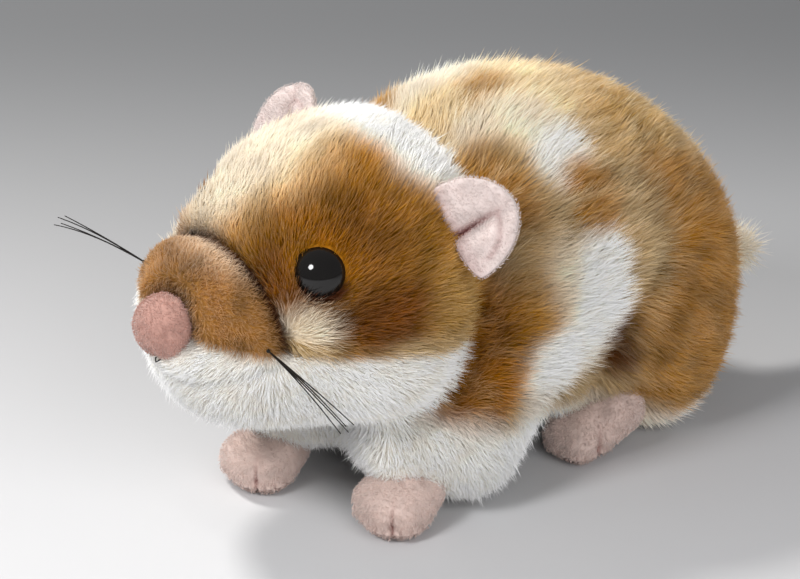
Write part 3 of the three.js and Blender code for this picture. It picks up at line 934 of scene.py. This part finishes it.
def dressVelour(name, mesh, node, kind, creases, seed, lie):
    traits = velourSet[kind]
    spots = vertexArray(mesh)
    mottle = np.array([noise.noise(Vector(spot) / napWear["mottleSize"]) for spot in spots.tolist()])
    tone = 0.94 + napWear["mottle"] * mottle
    cloth, deep = (np.array(linearColour(traits[part])) for part in ("cloth", "crease"))
    share = np.clip(creases, 0, 1)[:, None]
    flow = np.tile(np.array(lie, dtype=float), (len(spots), 1))
    out = vertexNormals(mesh)
    flow -= out * (flow * out).sum(axis=1)[:, None]
    # the creases are painted darker, as shade
    writeAttribute(mesh, "coatColour", 'FLOAT_COLOR', (cloth * (1 - share) + deep * share) * tone[:, None])
    writeAttribute(mesh, "lie", 'FLOAT_VECTOR', flow)
    for label, value in (("pile", traits["nap"] * mm * (1 - napWear["shorter"] * share[:, 0])),
                         ("stand", traits["stand"]), ("ruffle", napWear["ruffle"]),
                         ("thick", 1.0 - napWear["thinner"] * share[:, 0])):
        writeAttribute(mesh, label, 'FLOAT', np.zeros(len(spots)) + value)
    scalp = newObject(name + "Scalp", mesh.copy())
    growPile(name + "Nap", scalp, seed, napSet)
    form = newObject(name, mesh, velour)
    mesh.shade_smooth()
    unwrap(form, "OFBake")
    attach(form, "root")
    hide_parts(node)


# -- ears: a disc of two layers sewn face to face, turned out and folded where it is sewn on --
earSet = {
    # millimetres, but for the fold's slope and the shape of the edge
    "length": 13.4, "width": 22.3, "sewn": 2.6, "thickness": 2.6, "edge": 0.45, "fold": 0.27,
    "foldRound": 0.8, "crease": 2.6, "creaseWidth": 0.7,
    "lobe": 1.5, "lobeAt": 3.8, "lobeWidth": 3.2, "backLobe": 0.6,
    "wrinkle": 0.6, "wrinkleWidth": 0.7, "wrinkleCentre": (2.0, -1.0), "wrinkleRadius": 7.2, "rim": 0.08,
    "rings": 56, "spokes": 96,
    "left": {"root": (29.1, -29.2, 71.3), "out": (0.51, 0.5, 0.7), "hollow": (0.44, -0.78, 0.43)},
    "right": {"root": (-29.0, -32.4, 69.3), "out": (-0.34, 0.34, 0.88), "hollow": (0.03, -1.0, -0.08)},
}


def earMesh(side):
    # a round disc with a soft edge in its own millimetres, then its fold, lobes and creases
    mesh = ballMesh(side + "Ear", earSet["spokes"], earSet["rings"])
    ball = vertexArray(mesh)
    x = np.where(ball[:, 0] > 0, ball[:, 0] * earSet["length"], ball[:, 0] * earSet["sewn"])
    y = ball[:, 1] * earSet["width"] / 2
    front = ball[:, 2] > 0
    inner = np.clip(1 - ball[:, 0] ** 2 - ball[:, 1] ** 2, 0, 1)
    z = np.sign(ball[:, 2]) * np.abs(ball[:, 2]) ** earSet["edge"] * earSet["thickness"] / 2
    z += np.sqrt(y ** 2 + earSet["foldRound"] ** 2) * earSet["fold"]
    outward = smoothShare(earSet["length"] * 0.95, 0, x)
    deep = groove(y, earSet["creaseWidth"]) * outward * inner ** 0.3
    at, width = earSet["lobeAt"], earSet["lobeWidth"]
    lobes = (groove(y - at, width) + groove(y + at, width)) * inner ** 0.5
    arcX, arcY = earSet["wrinkleCentre"]
    arc = groove(np.hypot(x - arcX, y - arcY) - earSet["wrinkleRadius"], earSet["wrinkleWidth"])
    arc = arc * (y < 0) * smoothShare(1.0, 4.0, x) * inner ** 0.3
    rim = groove(np.hypot(ball[:, 0], ball[:, 1]) - 0.93, 0.05)
    z = np.where(front, z + lobes * earSet["lobe"] - deep * earSet["crease"] - arc * earSet["wrinkle"],
                 z - lobes * earSet["backLobe"])
    z += np.where(front, 1, -1) * rim * earSet["rim"]
    sewing = earSet[side]
    out = Vector(sewing["out"]).normalized()
    hollow = Vector(sewing["hollow"])
    hollow = (hollow - out * hollow.dot(out)).normalized()
    aside = hollow.cross(out)
    places = (np.array(sewing["root"]) + x[:, None] * np.array(out) + y[:, None] * np.array(aside)
              + z[:, None] * np.array(hollow))
    moveVertices(mesh, fromHead(places))
    # the crease, the wrinkle and the root where it is sewn on are painted darker, as shade
    return mesh, np.where(front, deep + arc * 0.3, 0) + 0.25 * smoothShare(2.5, -1.5, x)


for seed, side in ((31, "left"), (32, "right")):
    mesh, creases = earMesh(side)
    dressVelour(side + "Ear", mesh, side + "_ear", "ears", creases, seed, (0, 0.2, 1))
print("ears sewn on")

# -- paws and nose: the solids remeshed and evened, then pinched along their seams --
# the way each paw faces, degrees from -Y towards +X
pawsFace = {"left_front_paw": 42.0, "right_front_paw": 40.0, "left_hind_paw": 62.0, "right_hind_paw": -62.0}
pawSet = {
    # what is swollen out or pulled in, in millimetres
    "plump": -0.35, "lobe": 0.5, "valley": 0.55, "hem": 0.5, "underHem": 0.4, "stitch": 0.35, "knot": 0.5,
    # and where: either side of the middle, up from the floor, and from one stitch to the next
    "lobeApart": 4.4, "hemUp": 2.7, "knotUp": 4.5, "stitchStep": 1.9,
}
trimRemesh = {"cell": 0.75 * mm, "smoothing": 14}


def trimForm(node, name):
    mesh = softForm(name, [node], trimRemesh["cell"], trimRemesh["smoothing"], 1)
    low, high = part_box(node)
    middle = (np.array(low) + np.array(high)) / 2
    return mesh, (vertexArray(mesh) - middle) / mm, vertexNormals(mesh)


def setForm(mesh, push, out):
    # moves each vertex out by so many millimetres and keeps the sole on the floor
    spots = vertexArray(mesh) + out * (push * mm)[:, None]
    spots[:, 2] = np.maximum(spots[:, 2], 0.0)
    moveVertices(mesh, spots)


def pawMoves(node, places, heights):
    # how far each spot moves out, and how deep in a crease it lies
    turn = math.radians(pawsFace[node])
    forward = places[:, 0] * math.sin(turn) - places[:, 1] * math.cos(turn)
    aside = places[:, 0] * math.cos(turn) + places[:, 1] * math.sin(turn)
    front = smoothShare(0.5, 4.0, forward)
    overHem = heights - pawSet["hemUp"]
    lobes = groove(np.abs(aside) - pawSet["lobeApart"], 2.8) * front
    valley = groove(aside, 0.5) * front
    hem = groove(overHem, 0.5) * smoothShare(-2, 2, forward)
    under = groove(overHem + 1.0, 0.45) * smoothShare(-2, 2, forward)
    stitches = groove((aside / pawSet["stitchStep"] + 0.5) % 1 - 0.5, 0.12) * groove(overHem, 1.1) * front
    knot = groove(np.hypot(aside, heights - pawSet["knotUp"]), 1.0) * front
    push = pawSet["plump"] + lobes * pawSet["lobe"] + hem * pawSet["hem"]
    push -= valley * pawSet["valley"] * smoothShare(10, 6, heights) + under * pawSet["underHem"]
    push -= stitches * pawSet["stitch"] + knot * pawSet["knot"]
    # these crease shares also paint the dents darker, as shade
    creases = valley * 0.45 * smoothShare(12, 6, heights) + under * 0.45 + stitches * 0.35 + knot * 0.5
    return push, creases


for seed, node in enumerate(pawsFace, start=41):
    name = node.split("_")[0] + node.split("_")[1].capitalize() + "Paw"
    mesh, places, out = trimForm(node, name)
    push, creases = pawMoves(node, places, vertexArray(mesh)[:, 2] / mm)
    setForm(mesh, push, out)
    dressVelour(name, mesh, node, "paws", creases, seed, (0, -0.3, -1))

# the nose: a tuck below, where its seam closes, and a dent in front, in millimetres from its middle
noseSet = {"plump": -0.05, "tuck": 0.5, "tuckSide": 1.6, "dent": 0.35, "dentAt": (0.5, 1.0)}
mesh, places, out = trimForm("nose", "plushNose")
aside, back, up = (places @ headAxes.T).T
tuck = groove(aside - noseSet["tuckSide"], 0.6) * smoothShare(-2.0, -5.5, up) * smoothShare(2, -2, back)
dentSide, dentUp = noseSet["dentAt"]
dent = groove(np.hypot((aside - dentSide) * 0.6, up - dentUp), 1.0) * smoothShare(0, -2, back)
setForm(mesh, noseSet["plump"] - tuck * noseSet["tuck"] - dent * noseSet["dent"], out)
# the tuck, the dent and the back of the nose under the muzzle are painted darker, as shade
creases = tuck * 0.5 + dent * 0.25 + smoothShare(1, 5, back) * 0.5
dressVelour("plushNose", mesh, "nose", "nose", creases, 51, (0, 0.5, -1))
print("paws and nose sewn on")


# ---- eyes: domed black buttons set in the pile ----
eyeSet = {
    "radius": 6.35, "dome": 0.98, "back": 0.55, "segments": 64,     # millimetres; shares of the radius
    "brim": 0.35, "brimDown": 0.12, "brimWidth": 0.05,
    "upward": 0.12, "forward": 0.25,            # how the buttons lean
    "sunk": {"left": 0.1, "right": 4.0},        # the right eye's thread is drawn in tighter
}


def buttonMaterial():
    # injection-moulded ABS, dyed through and polished: deep black with a clear, slightly uneven gloss
    material, tree, surface = newMaterial("polished black ABS", {
        "Base Color": (*linearColour("#12100F"), 1), "IOR": 1.54, "Specular IOR Level": 0.4})
    gloss = ranged(tree, grain(tree, 700.0, 3.0), 0.3, 0.7, 0.05, 0.11)
    tree.links.new(gloss, surface.inputs["Roughness"])
    return material


button = buttonMaterial()
for side in ("left", "right"):
    # a dome on a thin brim; the back, in the pile, is flatter
    mesh = ballMesh(side + "Eye", eyeSet["segments"], eyeSet["segments"] // 2)
    ball = vertexArray(mesh)
    node = side + "_eye"
    away = (boxCentre(node) - eyeMiddle).normalized()
    middle = boxCentre(node) - away * eyeSet["sunk"][side] * mm
    lean = Vector(headUp) * eyeSet["upward"] - Vector(headBack) * eyeSet["forward"]
    outward = (away + lean).normalized()
    turn = np.array(outward.to_track_quat('Z', 'Y').to_matrix())
    ball[:, 2] *= np.where(ball[:, 2] < 0, eyeSet["back"], eyeSet["dome"])
    brim = groove(ball[:, 2] + eyeSet["brimDown"], eyeSet["brimWidth"])[:, None]
    ball[:, :2] *= 1 + eyeSet["brim"] / eyeSet["radius"] * brim
    moveVertices(mesh, ball @ turn.T * eyeSet["radius"] * mm + np.array(middle))
    mesh.shade_smooth()
    eye = newObject(side + "Eye", mesh, button)
    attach(eye, "root")
    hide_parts(node)
print("eyes set in")


# ---- whiskers and mouth stitch: monofilament and thread ----
whiskerSet = {"length": 31.0, "strands": 4, "rootRadius": 0.18, "tipRadius": 0.11, "knot": 0.45,    # mm
              "dip": 1, "dipStep": 1.8, "sweep": 4, "sweepStep": 3,     # degrees, from strand to strand
              "bow": 0.9, "steps": 18, "faces": 8}


def nylonMaterial():
    # extruded black nylon: smooth, semi-gloss, a little paler where light grazes it
    material, tree, surface = newMaterial("black nylon monofilament", {
        "Roughness": 0.45, "IOR": 1.53, "Specular IOR Level": 0.3})
    level = ranged(tree, grain(tree, 400.0, 2.0), 0.3, 0.7, 0.6, 1.2)
    tree.links.new(toned(tree, (*linearColour("#14100D"), 1), level), surface.inputs["Base Color"])
    return material


nylon = nylonMaterial()


def strand(sheet, path, radii, faces):
    # a closed tube along the points of a path, all in metres
    angles = [math.tau * face / faces for face in range(faces)]
    rings = []
    for step, (point, radius) in enumerate(zip(path, radii)):
        ahead = path[min(step + 1, len(path) - 1)] - path[max(step - 1, 0)]
        turn = Vector(ahead).to_track_quat('Z', 'Y').to_matrix()
        ring = (Vector((radius * math.cos(a), radius * math.sin(a), 0)) for a in angles)
        rings.append([sheet.verts.new(Vector(point) + turn @ spot) for spot in ring])
    for near, far in zip(rings, rings[1:]):
        for face in range(faces):
            following = (face + 1) % faces
            sheet.faces.new((near[face], near[following], far[following], far[face]))
    sheet.faces.new(rings[0][::-1])
    sheet.faces.new(rings[-1])


for side, name in ((1, "left"), (-1, "right")):
    sheet = bmesh.new()
    root = np.array(headMarks["whiskers"]) * np.array([side, 1, 1])
    share = np.linspace(0, 1, whiskerSet["steps"])
    for number in range(whiskerSet["strands"]):
        dip = math.radians(whiskerSet["dip"] + number * whiskerSet["dipStep"])
        sweep = math.radians(whiskerSet["sweep"] + number % 2 * whiskerSet["sweepStep"])
        way = Matrix.Rotation(side * sweep, 3, 'Y') @ Vector((side * math.cos(dip), -math.sin(dip), 0))
        bow = whiskerSet["bow"] * (0.5 + 0.35 * number)
        path = (root + share[:, None] * whiskerSet["length"] * np.array(way)
                + (share * (1 - share) * 4 * bow)[:, None] * np.array([0, -0.5, 1.0]))
        radii = whiskerSet["rootRadius"] * (1 - share) + whiskerSet["tipRadius"] * share
        strand(sheet, fromHead(path), radii * mm, whiskerSet["faces"])
    knot = bmesh.ops.create_icosphere(sheet, subdivisions=2, radius=whiskerSet["knot"] * mm)["verts"]
    bmesh.ops.translate(sheet, verts=knot, vec=Vector(fromHead(root)))
    bmesh.ops.recalc_face_normals(sheet, faces=sheet.faces)
    mesh = meshFrom(sheet, name + "Whiskers")
    mesh.shade_smooth()
    tuft = newObject(name + "Whiskers", mesh, nylon)
    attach(tuft, "root")
    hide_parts(name + "_whiskers")

# millimetres on the head's axes: how far the thread shows from its solid, and where it runs
stitchSet = {"offset": (0.9, -2.2, 0.7), "radius": 0.18, "faces": 8,
             "path": ((-0.5, 0.6, 1.6), (-0.2, -0.2, 0.8), (0.1, -0.2, 0.0), (0.5, 0.0, 0.4),
                      (0.7, 0.6, 1.0))}
stitchAt = np.array(boxCentre("mouth_stitch")) + np.array(stitchSet["offset"]) * mm @ headAxes
path = stitchAt + np.array(stitchSet["path"]) * mm @ headAxes
sheet = bmesh.new()
strand(sheet, path, np.full(len(path), stitchSet["radius"] * mm), stitchSet["faces"])
mesh = meshFrom(sheet, "mouthStitch")
mesh.shade_smooth()
stitch = newObject("mouthStitch", mesh, nylon)
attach(stitch, "root")
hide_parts("mouth_stitch")
bpy.data.objects.remove(fibre)
print("whiskers and stitch done")
